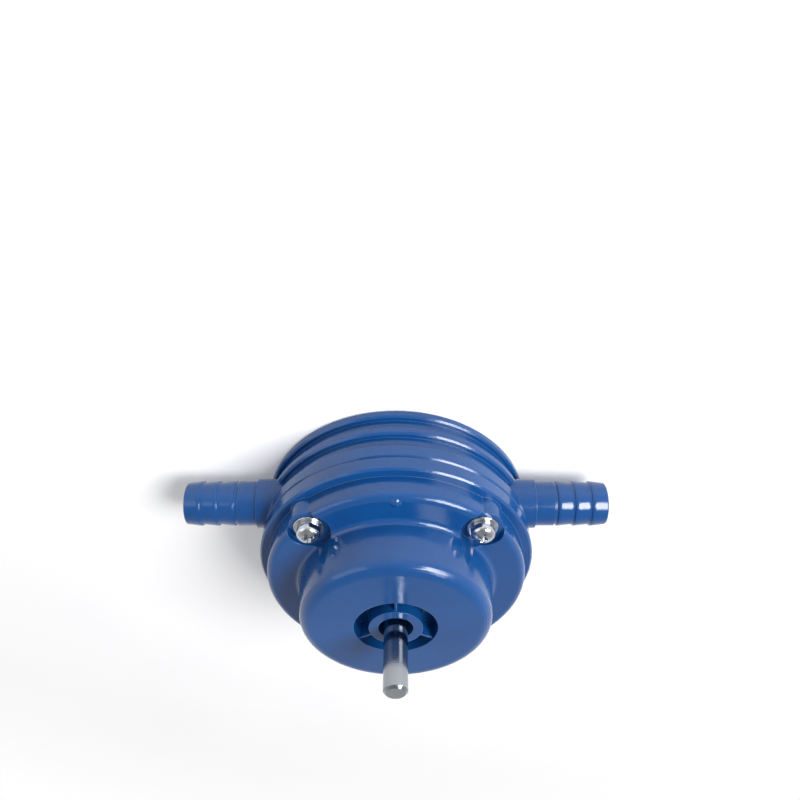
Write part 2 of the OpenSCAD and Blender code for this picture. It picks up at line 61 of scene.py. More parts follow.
# %% Sizes read from the solids
screw_low, screw_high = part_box("cover_screws")
washer_low, washer_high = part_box("screw_washers")
SEAT_Z = washer_low.z
HEAD_Z = washer_high.z
SCREW_TOP_Z = screw_high.z
SCREW_CIRCLE_R = 48 * MM
print("washers", round((HEAD_Z - SEAT_Z) / MM, 2), "mm thick, heads",
      round((SCREW_TOP_Z - HEAD_Z) / MM, 2), "mm high")

# %% [markdown]
# ## The camera
# The view looks down on the nose from the side of the hose tails, at about fifty degrees, turned so that the
# shaft points down in the picture. A turned camera is written as three axes: right, up and back.

# %% Camera
TILT = math.radians(40.3)
STAND = Vector((-1.66, -261.6, 233.9)) * MM
right = Vector((-1, 0, 0))
up = Vector((0, -math.cos(TILT), -math.sin(TILT)))
axes = Matrix((right, up, right.cross(up))).transposed()

camera_data = bpy.data.cameras.new("view_on_the_nose")
camera_data.sensor_width = 36
camera_data.lens = 33.75
camera_data.clip_start = 0.01
camera = bpy.data.objects.new("view_on_the_nose", camera_data)
camera.matrix_world = Matrix.Translation(STAND) @ axes.to_4x4()
bpy.context.scene.collection.objects.link(camera)
bpy.context.scene.camera = camera
print("camera stands", round(STAND.length, 3), "m from the back of the pump")

# %% [markdown]
# ## One way to write a material
# A material is a small net of nodes. One function adds a node, sets its values and joins its inputs, and one
# function turns an sRGB hex colour into the linear numbers that the renderer works with.

# %% Helpers for materials
def linear(hex_colour):
    """sRGB hex to linear RGBA."""
    values = [int(hex_colour[i:i + 2], 16) / 255 for i in (1, 3, 5)]
    return [v / 12.92 if v <= 0.04045 else ((v + 0.055) / 1.055) ** 2.4 for v in values] + [1.0]


def add(tree, kind, values=None, links=None, **settings):
    """Adds one node: values go to its inputs, links join inputs to other nodes' outputs, settings are its own."""
    made = tree.nodes.new(kind)
    for name, value in settings.items():
        setattr(made, name, value)
    for name, value in (values or {}).items():
        made.inputs[name].default_value = value
    for name, source in (links or {}).items():
        tree.links.new(source, made.inputs[name])
    return made


def new_material(name):
    """An empty material with its output and the object coordinates in millimetres."""
    material = bpy.data.materials.new(name)
    material.use_nodes = True
    tree = material.node_tree
    tree.nodes.clear()
    place = add(tree, "ShaderNodeTexCoord")
    in_mm = add(tree, "ShaderNodeMapping", {"Scale": (1000, 1000, 1000)}, {"Vector": place.outputs["Object"]})
    return material, tree, in_mm.outputs["Vector"]


def close(tree, shader):
    """Joins the shader to the material's output."""
    add(tree, "ShaderNodeOutputMaterial", links={"Surface": shader.outputs["BSDF"]})


FINISHES = {}

# %% [markdown]
# ## Moulded blue plastic
# The body, cover and hose tails are glossy ABS from an injection mould. The polished mould leaves a smooth skin
# with a faint orange peel about 2 mm across, and the melt leaves slow changes of tone 25 mm across. Corners are
# never quite sharp, so the normal is rounded over the last 0.5 mm of each edge. Where that rounded normal turns
# away from the surface's own, handling has rubbed the edge paler and duller.

# %% Plastics and rubber, moulded
HAZE_MM = 9


def moulded(name, colours, roughness, edge_mm=0.2, peel_mm=0.02, flow_mm=25, peel_width_mm=2, ior=1.53):
    """A moulded skin. The colours are the light and dark tone of the melt and the rubbed edge."""
    light, dark, rubbed = colours
    material, tree, mm = new_material(name)
    flow = add(tree, "ShaderNodeTexNoise", {"Scale": 1 / flow_mm, "Detail": 3.0, "Roughness": 0.55},
               {"Vector": mm})
    tone = add(tree, "ShaderNodeMix", {"A": linear(dark), "B": linear(light)},
               {"Factor": flow.outputs["Fac"]}, data_type="RGBA")
    edge = add(tree, "ShaderNodeBevel", {"Radius": edge_mm * MM}, samples=8)
    own = add(tree, "ShaderNodeNewGeometry")
    facing = add(tree, "ShaderNodeVectorMath", links={0: edge.outputs["Normal"], 1: own.outputs["Normal"]},
                 operation="DOT_PRODUCT")
    wear = add(tree, "ShaderNodeMapRange", {"From Min": 1.0, "From Max": 0.85, "To Min": 0.0, "To Max": 0.45},
               {"Value": facing.outputs["Value"]})
    worn = add(tree, "ShaderNodeMix", {"B": linear(rubbed)},
               {"Factor": wear.outputs["Result"], "A": tone.outputs["Result"]}, data_type="RGBA")
    haze = add(tree, "ShaderNodeTexNoise", {"Scale": 1 / HAZE_MM, "Detail": 5.0, "Roughness": 0.65},
               {"Vector": mm})
    gloss = add(tree, "ShaderNodeMapRange",
                {"From Min": 0.35, "From Max": 0.65, "To Min": roughness[0], "To Max": roughness[1]},
                {"Value": haze.outputs["Fac"]})
    duller = add(tree, "ShaderNodeMath", {1: 0.3}, {0: wear.outputs["Result"]}, operation="MULTIPLY")
    rough = add(tree, "ShaderNodeMath", links={0: gloss.outputs["Result"], 1: duller.outputs["Value"]},
                operation="ADD")
    skin = add(tree, "ShaderNodeTexNoise", {"Scale": 1 / peel_width_mm, "Detail": 2.0}, {"Vector": mm})
    peeled = add(tree, "ShaderNodeBump", {"Strength": 0.5, "Distance": peel_mm * MM},
                 {"Height": skin.outputs["Fac"], "Normal": edge.outputs["Normal"]})
    shader = add(tree, "ShaderNodeBsdfPrincipled", {"IOR": ior, "Metallic": 0.0},
                 {"Base Color": worn.outputs["Result"], "Roughness": rough.outputs["Value"],
                  "Normal": peeled.outputs["Normal"]})
    close(tree, shader)
    return material


# Glossy ABS: clear highlights, a slow cloudiness in the blue, pale corners.
FINISHES["blue_plastic"] = moulded("abs_blue_injection_moulded", ("#125091", "#0b3d75", "#356ea8"), (0.11, 0.21),
                                   edge_mm=0.5, peel_mm=0.09)
# Machined acetal: milky and even, with a satin skin.
FINISHES["white_plastic"] = moulded("acetal_white_machined", ("#e6e4da", "#d8d5c8", "#efeee8"), (0.34, 0.48))
# Natural polypropylene: waxy, slightly grey.
FINISHES["strainer_plastic"] = moulded("polypropylene_natural_moulded", ("#dcdbd2", "#cfcec3", "#e8e7e0"),
                                       (0.35, 0.5), ior=1.49)
# Nylon filled with graphite: dark grey with a dry sheen where it slides.
FINISHES["vane_plastic"] = moulded("nylon_graphite_filled_moulded", ("#2f3033", "#1f2022", "#55575b"),
                                   (0.38, 0.52), flow_mm=4, peel_width_mm=0.5)
# Nitrile rubber: nearly black and matt.
FINISHES["seal_rubber"] = moulded("nitrile_rubber_moulded", ("#232325", "#19191b", "#2c2c2e"), (0.5, 0.65),
                                  flow_mm=6, peel_width_mm=0.7)
print("plastics and rubber:", len(FINISHES))

# %% [markdown]
# ## Steel, brass and bronze
# The shaft is ground bar: fine rings run round it. They are about 0.05 mm apart on the real one and are drawn
# 0.9 mm apart, so that they show. Plated heads are smooth and slightly uneven, and sintered bronze is speckled
# with pores. Pure metals keep their colour in the reflection, so metallic is 1 and the rest is roughness.

# %% Metals
# A wave texture repeats every pi / 10 of its scaled coordinate.
WAVE_REPEAT = 0.314


def metal(name, light, dark, roughness, spacing_mm, depth_mm, turned=False):
    """A metal: uneven in tone, shine and height over a grain, or over rings round Z where it is turned."""
    material, tree, mm = new_material(name)
    if turned:
        rings = add(tree, "ShaderNodeTexWave",
                    {"Scale": WAVE_REPEAT / spacing_mm, "Distortion": 4.0, "Detail": 3.0},
                    {"Vector": mm}, bands_direction="Z")
        pattern = rings.outputs["Fac"]
    else:
        grain = add(tree, "ShaderNodeTexNoise", {"Scale": 1 / spacing_mm, "Detail": 4.0, "Roughness": 0.6},
                    {"Vector": mm})
        spread = add(tree, "ShaderNodeMapRange", {"From Min": 0.3, "From Max": 0.7},
                     {"Value": grain.outputs["Fac"]})
        pattern = spread.outputs["Result"]
    tone = add(tree, "ShaderNodeMix", {"A": linear(dark), "B": linear(light)}, {"Factor": pattern},
               data_type="RGBA")
    rough = add(tree, "ShaderNodeMapRange", {"To Min": roughness[0], "To Max": roughness[1]}, {"Value": pattern})
    edge = add(tree, "ShaderNodeBevel", {"Radius": 0.2 * MM}, samples=6)
    relief = add(tree, "ShaderNodeBump", {"Strength": 0.6, "Distance": depth_mm * MM},
                 {"Height": pattern, "Normal": edge.outputs["Normal"]})
    shader = add(tree, "ShaderNodeBsdfPrincipled", {"Metallic": 1.0},
                 {"Base Color": tone.outputs["Result"], "Roughness": rough.outputs["Result"],
                  "Normal": relief.outputs["Normal"]})
    close(tree, shader)
    return material


# Bright zinc on a forged head: white highlights broken by the uneven plating.
FINISHES["plated_steel"] = metal("steel_zinc_plated_bright", "#d3d6da", "#b0b4b9", (0.12, 0.24), 1.5, 0.03)
# Ground and oiled bar: grey, with a long soft highlight.
FINISHES["polished_steel"] = metal("steel_bar_ground", "#9da1a7", "#979ba1", (0.12, 0.18), 0.9, 0.0004, turned=True)
# Ground bearing races and balls: nearly a mirror.
FINISHES["bearing_steel"] = metal("bearing_steel_ground", "#c9ccd0", "#b4b8bd", (0.12, 0.2), 4.0, 0.004)
# Oil-black spring steel: dark grey and dull.
FINISHES["spring_steel"] = metal("spring_steel_blackened", "#4a4d52", "#35373b", (0.35, 0.5), 2.0, 0.02)
# Pressed sheet: grey, with the soft shine of the roll.
FINISHES["seal_case_steel"] = metal("sheet_steel_pressed", "#8b9097", "#757a80", (0.3, 0.42), 5.0, 0.02)
# Drawn wire: bright along the wire.
FINISHES["garter_steel"] = metal("spring_wire_drawn", "#b0b3b8", "#8e9196", (0.25, 0.35), 1.0, 0.01)
# Sintered bronze: brown-gold, speckled with oil pores 0.6 mm apart.
FINISHES["bronze"] = metal("bronze_sintered", "#b98443", "#7f5527", (0.35, 0.55), 0.6, 0.04)
# Turned brass: yellow, with the tool's rings drawn 0.5 mm apart, about five times as coarse as real ones.
FINISHES["brass"] = metal("brass_turned", "#cfae62", "#b8944a", (0.2, 0.32), 0.5, 0.01, turned=True)
FINISHES["cage_brass"] = metal("brass_machined", "#c9ab66", "#b0914f", (0.25, 0.38), 0.6, 0.01, turned=True)
print("materials in all:", len(FINISHES))

# %% [markdown]
# Every solid keeps its own slot of the record, so one loop gives each of them its finish.

# %% Finish the carried-over solids
for part in frame["record"]["subparts"]:
    solid = frame["nodes"][part["node"]]
    finish = FINISHES[part["material_slot"]]
    if not solid.data.materials:
        solid.data.materials.append(finish)
    for i in range(len(solid.data.materials)):
        solid.data.materials[i] = finish
print("finished:", ", ".join(sorted(frame["nodes"])))

# %% [markdown]
# ## A lathe made of Geometry Nodes
# The hose tails, the screws and their washers are round about an axis, so each is drawn as half an outline and
# turned round. The tree lays the outline along a circle with Curve to Mesh, closes seam and poles with Merge by
# Distance, and ends in Realize Instances and Set Material. Facets is the number of steps round the axis.

# %% The lathe tree
WELD = 0.001 * MM


def socket_id(tree, name):
    """A modifier's input is set by its identifier."""
    return next(item.identifier for item in tree.interface.items_tree
                if item.item_type == "SOCKET" and item.in_out == "INPUT" and item.name == name)


def new_tree(name, **inputs):
    """A tree that takes and gives geometry, with named inputs after it."""
    tree = bpy.data.node_groups.new(name, "GeometryNodeTree")
    tree.interface.new_socket("Geometry", in_out="INPUT", socket_type="NodeSocketGeometry")
    for title, kind in inputs.items():
        tree.interface.new_socket(title.replace("_", " "), in_out="INPUT", socket_type="NodeSocket" + kind)
    tree.interface.new_socket("Finish", in_out="INPUT", socket_type="NodeSocketMaterial")
    tree.interface.new_socket("Geometry", in_out="OUTPUT", socket_type="NodeSocketGeometry")
    return tree, add(tree, "NodeGroupInput").outputs


def end_tree(tree, geometry, finish):
    """Every tree ends in the same two steps, so that the result is plain mesh with its finish on it."""
    real = add(tree, "GeometryNodeRealizeInstances", links={"Geometry": geometry})
    smooth = add(tree, "GeometryNodeSetShadeSmooth", links={"Geometry": real.outputs["Geometry"]})
    done = add(tree, "GeometryNodeSetMaterial", links={"Geometry": smooth.outputs["Geometry"], "Material": finish})
    add(tree, "NodeGroupOutput", links={"Geometry": done.outputs["Geometry"]})


LATHE, given = new_tree("lathe", Facets="Int", Path_Radius="Float")
path = add(LATHE, "GeometryNodeCurvePrimitiveCircle",
           links={"Resolution": given["Facets"], "Radius": given["Path Radius"]})
outline = add(LATHE, "GeometryNodeMeshToCurve", links={"Mesh": given["Geometry"]})
turned = add(LATHE, "GeometryNodeCurveToMesh",
             links={"Curve": path.outputs["Curve"], "Profile Curve": outline.outputs["Curve"]})
merged = add(LATHE, "GeometryNodeMergeByDistance", {"Distance": WELD}, {"Geometry": turned.outputs["Mesh"]})
end_tree(LATHE, merged.outputs["Geometry"], given["Finish"])
print("lathe tree:", len(LATHE.nodes), "nodes")

# %% [markdown]
# An outline is a list of corners, each with its radius, its height and how far it is rounded. Real edges are
# never sharp: a moulded edge has 0.2 to 0.5 mm of rounding, and that line of light is what makes it look real.

# %% Outlines and turned pieces
PATH_RADIUS = 100 * MM
SMOOTH_BELOW = math.radians(35)


def rounded(corners, steps=5):
    """Rounds each corner (radius, height, rounding) with an arc that touches both edges."""
    outline = []
    for i, (r, z, size) in enumerate(corners):
        here = Vector((r, z))
        before = Vector(corners[i - 1][:2]) - here
        after = Vector(corners[(i + 1) % len(corners)][:2]) - here
        if not size:
            outline.append(here)
            continue
        half = before.angle(after) / 2
        reach = min(size / math.tan(half), 0.45 * before.length, 0.45 * after.length)
        middle = (before.normalized() + after.normalized()).normalized() * reach / math.cos(half)
        first = before.normalized() * reach - middle
        last = after.normalized() * reach - middle
        turn_by = first.angle_signed(last)
        for k in range(steps + 1):
            outline.append(here + middle + Matrix.Rotation(-turn_by * k / steps, 2) @ first)
    return outline


def show(mesh, name):
    """Puts a mesh in the scene as an object at the origin."""
    made = bpy.data.objects.new(name, mesh)
    bpy.context.scene.collection.objects.link(made)
    return made


def settle(raw, name):
    """Turns the result of an object's modifiers into a plain mesh and removes the object."""
    mesh = bpy.data.meshes.new_from_object(raw.evaluated_get(bpy.context.evaluated_depsgraph_get()))
    bpy.data.objects.remove(raw)
    return show(mesh, name)


def even_light(piece, name):
    """Marks sharp edges by their angle and weights the normals by area, so that flats stay flat."""
    for face in piece.data.polygons:
        face.use_smooth = True
    piece.data.set_sharp_from_angle(angle=SMOOTH_BELOW)
    weigh = piece.modifiers.new("even_light", "WEIGHTED_NORMAL")
    weigh.keep_sharp = True
    return settle(piece, name)


def run_tree(raw, tree, finish, name, **values):
    """Runs a tree on an object, with its named inputs, and returns the plain result."""
    modifier = raw.modifiers.new(tree.name, "NODES")
    modifier.node_group = tree
    for title, value in values.items():
        modifier[socket_id(tree, title.replace("_", " "))] = value
    modifier[socket_id(tree, "Finish")] = finish
    return settle(raw, name)


def turn(name, corners, slot, facets=192):
    """Turns rounded corners round Z."""
    outline = rounded(corners)
    mesh = bpy.data.meshes.new(name)
    edges = [(i, (i + 1) % len(outline)) for i in range(len(outline))]
    mesh.from_pydata([(p.x - PATH_RADIUS, -p.y, 0) for p in outline], edges, [])
    made = run_tree(show(mesh, name + "_outline"), LATHE, FINISHES[slot], name + "_turned",
                    Facets=facets, Path_Radius=PATH_RADIUS)
    return outwards(made)


def outwards(piece):
    """Faces of a closed shell are turned outwards once its doubles are merged."""
    bm = bmesh.new()
    bm.from_mesh(piece.data)
    bmesh.ops.recalc_face_normals(bm, faces=bm.faces)
    bm.to_mesh(piece.data)
    bm.free()
    return piece


def dress(piece, node):
    """A finished piece takes the place of a solid: it rides on that solid's body, and the solid is hidden."""
    body = next(b for b, nodes in frame["record"]["behaviour"]["bodies"].items() if node in nodes)
    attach(piece, body)
    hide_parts(node)
    size = [round(v / MM, 1) for v in piece.dimensions]
    print(piece.name, "stands for", node, "on", body, size, "mm,", len(piece.data.polygons), "faces")


# %% [markdown]
# ## Hose tails
# Each tail is one moulding: a plain stretch for the hose clip, three barbs that rise slowly towards the body and
# drop with a sharp step, and a bore right through. The crests are rounded by 0.25 mm, as a mould leaves them.

# %% Turn the hose tails
tail_low, tail_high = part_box("inlet_hose_tail")
body_low, body_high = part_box("pump_body")
TAIL_R = (tail_high.z - tail_low.z) / 2
TAIL_END = tail_high.x
PORT_FACE = body_high.x
BARB_DEPTH = 0.5 * MM
BARB_PITCH = 7.1 * MM
BARB_LAND = 1.2 * MM
FIRST_BARB = 6.9 * MM
BORE_R = 6.5 * MM
SPIGOT_R = 8.5 * MM
CREST_ROUND = 0.25 * MM

root_r = TAIL_R - BARB_DEPTH
innermost = TAIL_END - FIRST_BARB - 2 * BARB_PITCH
corners = [(BORE_R, tail_low.x, 0.4 * MM), (SPIGOT_R, tail_low.x, 0.6 * MM), (SPIGOT_R, PORT_FACE, 0.1 * MM),
           (TAIL_R, PORT_FACE, 0.1 * MM), (TAIL_R, innermost - BARB_LAND, CREST_ROUND),
           (root_r, innermost - BARB_LAND, CREST_ROUND)]
for i in range(3):
    step = innermost + i * BARB_PITCH
    corners += [(root_r, step, CREST_ROUND), (TAIL_R, step, CREST_ROUND), (TAIL_R, step + BARB_LAND, CREST_ROUND)]
    if i < 2:
        corners += [(root_r, step + BARB_PITCH - BARB_LAND, CREST_ROUND)]
corners += [(root_r - 0.4 * BARB_DEPTH, TAIL_END, 0.7 * MM), (BORE_R, TAIL_END, 0.7 * MM)]
for node, side in (("inlet_hose_tail", 1), ("outlet_hose_tail", -1)):
    name = node.replace("hose_tail", "tail_moulding")
    tail = turn(name, corners, "blue_plastic")
    middle = Vector((0, (tail_low.y + tail_high.y) / 2, (tail_low.z + tail_high.z) / 2))
    tail.data.transform(Matrix.Translation(middle) @ Matrix.Rotation(math.radians(90) * side, 4, "Y"))
    dress(even_light(tail, name), node)

# %% [markdown]
# ## Cover screws
# A pan-head machine screw is forged: the head has a straight side and a low dome, and a punch leaves the cross
# recess, whose four wings narrow with depth. The thread is rolled. Head, recess and thread are made once, and a
# second tree sets four of them round the axis, each stopped at its own angle, as a screwdriver leaves them.

# %% A recess cutter and a rolled thread
HEAD_R = 4.7 * MM
HEAD_SIDE = 0.55
RECESS_R = 2.7 * MM
RECESS_DEPTH = 2.6 * MM
WING = 0.62 * MM
WING_CORNER = 1.35
CUTTER_OVER = 1.5 * MM
SHANK_R = 2.45 * MM
SHANK_LENGTH = 25 * MM
THREAD_PITCH = 0.8 * MM
THREAD_DEPTH = 0.45 * MM
THREAD_FROM = 7 * MM


def recess_cutter(top):
    """Four wings that narrow with depth, as one star-shaped prism that stands out past the head."""
    rings = []
    # Each level has its height and its shares of the recess's reach and of the wing's width.
    for height, reach, wing in ((-RECESS_DEPTH, 0.42, 0.5), (0, 1.0, 1.0), (CUTTER_OVER, 1.3, 1.3)):
        ring = []
        for k in range(4):
            for along, across in ((reach * RECESS_R, -wing * WING), (reach * RECESS_R, wing * WING),
                                  (WING_CORNER * wing * WING, WING_CORNER * wing * WING)):
                spin = Matrix.Rotation(math.radians(90) * k, 2)
                ring.append((*(spin @ Vector((along, across))), top + height))
        rings.append(ring)
    mesh = bpy.data.meshes.new("recess_cutter")
    count = len(rings[0])
    faces = [tuple(range(count))[::-1], tuple(2 * count + i for i in range(count))]
    for level in range(2):
        for i in range(count):
            j = (i + 1) % count
            faces.append((level * count + i, level * count + j, (level + 1) * count + j, (level + 1) * count + i))
    mesh.from_pydata([p for ring in rings for p in ring], [], faces)
    return outwards(show(mesh, "recess_cutter"))


def rolled_thread(low, high, steps=28, per_turn=6):
    """A shank whose radius follows a helix: full at the crests, THREAD_DEPTH less at the roots."""
    rows = round((high - low) / THREAD_PITCH * per_turn)
    points, faces = [], []
    for row in range(rows + 1):
        z = low + (high - low) * row / rows
        for k in range(steps):
            place = (z / THREAD_PITCH - k / steps) % 1
            flank = abs(2 * place - 1)
            fade = min(1, max(0, (high - THREAD_FROM - z) / THREAD_PITCH), (z - low) / THREAD_PITCH + 0.3)
            point_r = SHANK_R - THREAD_DEPTH * flank * fade - max(0, low + 1.2 * MM - z) * 0.7
            angle = math.tau * k / steps
            points.append((point_r * math.cos(angle), point_r * math.sin(angle), z))
            if row:
                right = (k + 1) % steps
                below = (row - 1) * steps
                faces.append((below + k, below + right, row * steps + right, row * steps + k))
    faces += [tuple(range(steps))[::-1], tuple(rows * steps + k for k in range(steps))]
    mesh = bpy.data.meshes.new("thread")
    mesh.from_pydata(points, [], faces)
    return show(mesh, "thread")


# %% [markdown]
# The head is turned on the lathe, the cutter is taken out of it with an exact boolean, and the thread joins it as
# a second closed shell whose top lies just inside the head.

# %% Forge one screw
head_height = SCREW_TOP_Z - HEAD_Z
side_height = head_height * HEAD_SIDE
dome_height = head_height - side_height
dome = []
for degrees in range(5, 90, 5):
    a = math.radians(degrees)
    dome.append((HEAD_R * math.cos(a), side_height + dome_height * math.sin(a), 0))
head = turn("head", [(0, 0, 0), (HEAD_R, 0, 0.25 * MM), (HEAD_R, side_height, 0)] + dome + [(0, head_height, 0)],
            "plated_steel", facets=96)
cut = head.modifiers.new("recess", "BOOLEAN")
cut.operation = "DIFFERENCE"
cut.solver = "EXACT"
cutter = recess_cutter(head_height)
cut.object = cutter
head = settle(head, "head_with_recess")
bpy.data.objects.remove(cutter)
thread = rolled_thread(-SHANK_LENGTH, 0.3 * MM)
thread.data.materials.append(FINISHES["plated_steel"])
with bpy.context.temp_override(active_object=head, selected_editable_objects=[head, thread]):
    bpy.ops.object.join()
print("one screw:", len(head.data.polygons), "faces")

# %% [markdown]
# The second tree sets a piece on the corners of a mesh circle. A seeded random turn about the piece's own axis
# stands for where each screw happened to stop.

# %% Set four round the axis
AROUND, given = new_tree("around_the_axis", Count="Int", Radius="Float", Height="Float", Turn="Float", Seed="Int")
ring = add(AROUND, "GeometryNodeMeshCircle", links={"Vertices": given["Count"], "Radius": given["Radius"]})
lift = add(AROUND, "ShaderNodeCombineXYZ", links={"Z": given["Height"]})
first = add(AROUND, "ShaderNodeCombineXYZ", {"Z": math.pi / 4})
placed = add(AROUND, "GeometryNodeTransform", links={
    "Geometry": ring.outputs["Mesh"], "Translation": lift.outputs["Vector"], "Rotation": first.outputs["Vector"]})
spin = add(AROUND, "FunctionNodeRandomValue", links={"Max": given["Turn"], "Seed": given["Seed"]},
           data_type="FLOAT")
about = add(AROUND, "ShaderNodeCombineXYZ", links={"Z": spin.outputs["Value"]})
copies = add(AROUND, "GeometryNodeInstanceOnPoints", links={
    "Points": placed.outputs["Geometry"], "Instance": given["Geometry"], "Rotation": about.outputs["Vector"]})
end_tree(AROUND, copies.outputs["Instances"], given["Finish"])

FOUR = {"Count": 4, "Radius": SCREW_CIRCLE_R, "Seed": 4}
MOST_TURN = 1.5
screws = run_tree(head, AROUND, FINISHES["plated_steel"], "four_screws", **FOUR, Height=HEAD_Z, Turn=MOST_TURN)
dress(even_light(screws, "pan_head_screws"), "cover_screws")

# %% [markdown]
# ## Washers
# The washers are stamped from sheet, so one edge is rolled over and the other stays crisp.

# %% Stamp the washers
WASHER_R = washer_high.x - SCREW_CIRCLE_R / math.sqrt(2)
WASHER_HOLE_R = 2.65 * MM
washer_height = HEAD_Z - SEAT_Z
corners = [(WASHER_HOLE_R, 0, 0.1 * MM), (WASHER_R, 0, 0.1 * MM), (WASHER_R, washer_height, 0.35 * MM),
           (WASHER_HOLE_R, washer_height, 0.2 * MM)]
washer = turn("washer", corners, "plated_steel", facets=96)
washers = run_tree(washer, AROUND, FINISHES["plated_steel"], "four_washers", **FOUR, Height=SEAT_Z, Turn=0.0)
dress(even_light(washers, "stamped_washers"), "screw_washers")

# %% [markdown]
# ## Knurled inserts
# The screws go into brass bushes that are pressed hot into the plastic. Two knurled bands grip it, with a plain
# groove between them that the melt flows into. The bush is lofted from rings whose radius rises and falls with
# the teeth, outside up and bore down, so that it closes into one shell.

# %% Knurl the inserts
insert_low, insert_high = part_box("screw_inserts")
INSERT_R = insert_high.x - SCREW_CIRCLE_R / math.sqrt(2)
INSERT_BORE_R = 2.52 * MM
GROOVE_DEPTH = 0.45 * MM
TOOTH_DEPTH = 0.3 * MM
TEETH = 24
STEPS_PER_TOOTH = 4


def knurled_bush(height):
    """A bush from z = 0 up to height, with two toothed bands and a groove between them."""
    edge = 0.3 * MM
    band = 0.38 * height
    plain_r = INSERT_R - GROOVE_DEPTH
    rings = [(INSERT_BORE_R + edge, 0, 0), (plain_r, 0, 0), (INSERT_R, edge, 1), (INSERT_R, band - edge, 1),
             (plain_r, band, 0), (plain_r, height - band, 0), (INSERT_R, height - band + edge, 1),
             (INSERT_R, height - edge, 1), (plain_r, height, 0), (INSERT_BORE_R + edge, height, 0),
             (INSERT_BORE_R, height - edge, 0), (INSERT_BORE_R, edge, 0)]
    count = TEETH * STEPS_PER_TOOTH
    points, faces = [], []
    for level, (r, z, toothed) in enumerate(rings):
        for k in range(count):
            flank = abs(2 * (k % STEPS_PER_TOOTH) / STEPS_PER_TOOTH - 1)
            point_r = r - TOOTH_DEPTH * (1 - flank) * toothed
            angle = math.tau * k / count
            points.append((point_r * math.cos(angle), point_r * math.sin(angle), z))
            following = (level + 1) % len(rings) * count
            beside = (k + 1) % count
            faces.append((level * count + k, level * count + beside, following + beside, following + k))
    mesh = bpy.data.meshes.new("knurled_bush")
    mesh.from_pydata(points, [], faces)
    return outwards(show(mesh, "knurled_bush"))


bush = knurled_bush(insert_high.z - insert_low.z)
inserts = run_tree(bush, AROUND, FINISHES["brass"], "four_inserts", **FOUR, Height=insert_low.z, Turn=0.0)
dress(even_light(inserts, "knurled_inserts"), "screw_inserts")

# %% [markdown]
# ## Garter spring
# The spring that presses the seal's lip on the shaft is a close coil of thin wire, joined end to end into a ring.
# The tree walks along a circle, and turns each point round it by its place along the ring. A small circle is
# then swept along that path as the wire.

# %% Wind the garter spring
COIL, given = new_tree("coil_in_a_ring", Turns="Int", Steps="Int", Ring_Radius="Float", Coil_Radius="Float",
                       Wire_Radius="Float", Height="Float")
points = add(COIL, "ShaderNodeMath", links={0: given["Turns"], 1: given["Steps"]}, operation="MULTIPLY")
path = add(COIL, "GeometryNodeCurvePrimitiveCircle",
           links={"Resolution": points.outputs["Value"], "Radius": given["Ring Radius"]})
index = add(COIL, "GeometryNodeInputIndex")
turns = add(COIL, "ShaderNodeMath", links={0: index.outputs["Index"], 1: given["Steps"]}, operation="DIVIDE")
angle = add(COIL, "ShaderNodeMath", {1: math.tau}, {0: turns.outputs["Value"]}, operation="MULTIPLY")
cosine = add(COIL, "ShaderNodeMath", links={0: angle.outputs["Value"]}, operation="COSINE")
sine = add(COIL, "ShaderNodeMath", links={0: angle.outputs["Value"]}, operation="SINE")
outward = add(COIL, "ShaderNodeMath", links={0: cosine.outputs["Value"], 1: given["Coil Radius"]},
              operation="MULTIPLY")
upward = add(COIL, "ShaderNodeMath", links={0: sine.outputs["Value"], 1: given["Coil Radius"]},
             operation="MULTIPLY")
lifted = add(COIL, "ShaderNodeMath", links={0: upward.outputs["Value"], 1: given["Height"]}, operation="ADD")
position = add(COIL, "GeometryNodeInputPosition")
away = add(COIL, "ShaderNodeVectorMath", links={0: position.outputs["Position"]}, operation="NORMALIZE")
sideways = add(COIL, "ShaderNodeVectorMath", links={0: away.outputs["Vector"], "Scale": outward.outputs["Value"]},
               operation="SCALE")
rise = add(COIL, "ShaderNodeCombineXYZ", links={"Z": lifted.outputs["Value"]})
offset = add(COIL, "ShaderNodeVectorMath", links={0: sideways.outputs["Vector"], 1: rise.outputs["Vector"]},
             operation="ADD")
wound = add(COIL, "GeometryNodeSetPosition",
            links={"Geometry": path.outputs["Curve"], "Offset": offset.outputs["Vector"]})
section = add(COIL, "GeometryNodeCurvePrimitiveCircle", {"Resolution": 6}, {"Radius": given["Wire Radius"]})
wire = add(COIL, "GeometryNodeCurveToMesh",
           links={"Curve": wound.outputs["Geometry"], "Profile Curve": section.outputs["Curve"]})
end_tree(COIL, wire.outputs["Mesh"], given["Finish"])

garter_low, garter_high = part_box("seal_garter_ring")
WIRE_R = 0.14 * MM
COIL_R = (garter_high.z - garter_low.z) / 2 - WIRE_R
garter_raw = show(bpy.data.meshes.new("garter_raw"), "garter_raw")
garter = run_tree(garter_raw, COIL, FINISHES["garter_steel"], "garter_spring", Turns=130, Steps=10,
                  Ring_Radius=garter_high.x - COIL_R - WIRE_R, Coil_Radius=COIL_R, Wire_Radius=WIRE_R,
                  Height=(garter_high.z + garter_low.z) / 2)
dress(outwards(garter), "seal_garter_ring")

# %% [markdown]
# ## Floor, lamps and background
# The pump lies on plain white board. The floor is a wide square with a matt white surface. For camera and mirror
# rays it glows a little near the pump and is plain white far from it, so that it meets the white background
# without an edge and still keeps the soft shadow.

# %% Floor and background
FLOOR_HALF = 30.0
FLOOR_Z = -0.05 * MM
floor_mesh = bpy.data.meshes.new("floor")
floor_corners = [(x * FLOOR_HALF, y * FLOOR_HALF, FLOOR_Z) for x, y in ((-1, -1), (1, -1), (1, 1), (-1, 1))]
floor_mesh.from_pydata(floor_corners, [], [(0, 1, 2, 3)])
floor = bpy.data.objects.new("floor", floor_mesh)
bpy.context.scene.collection.objects.link(floor)

GLOW = 0.16
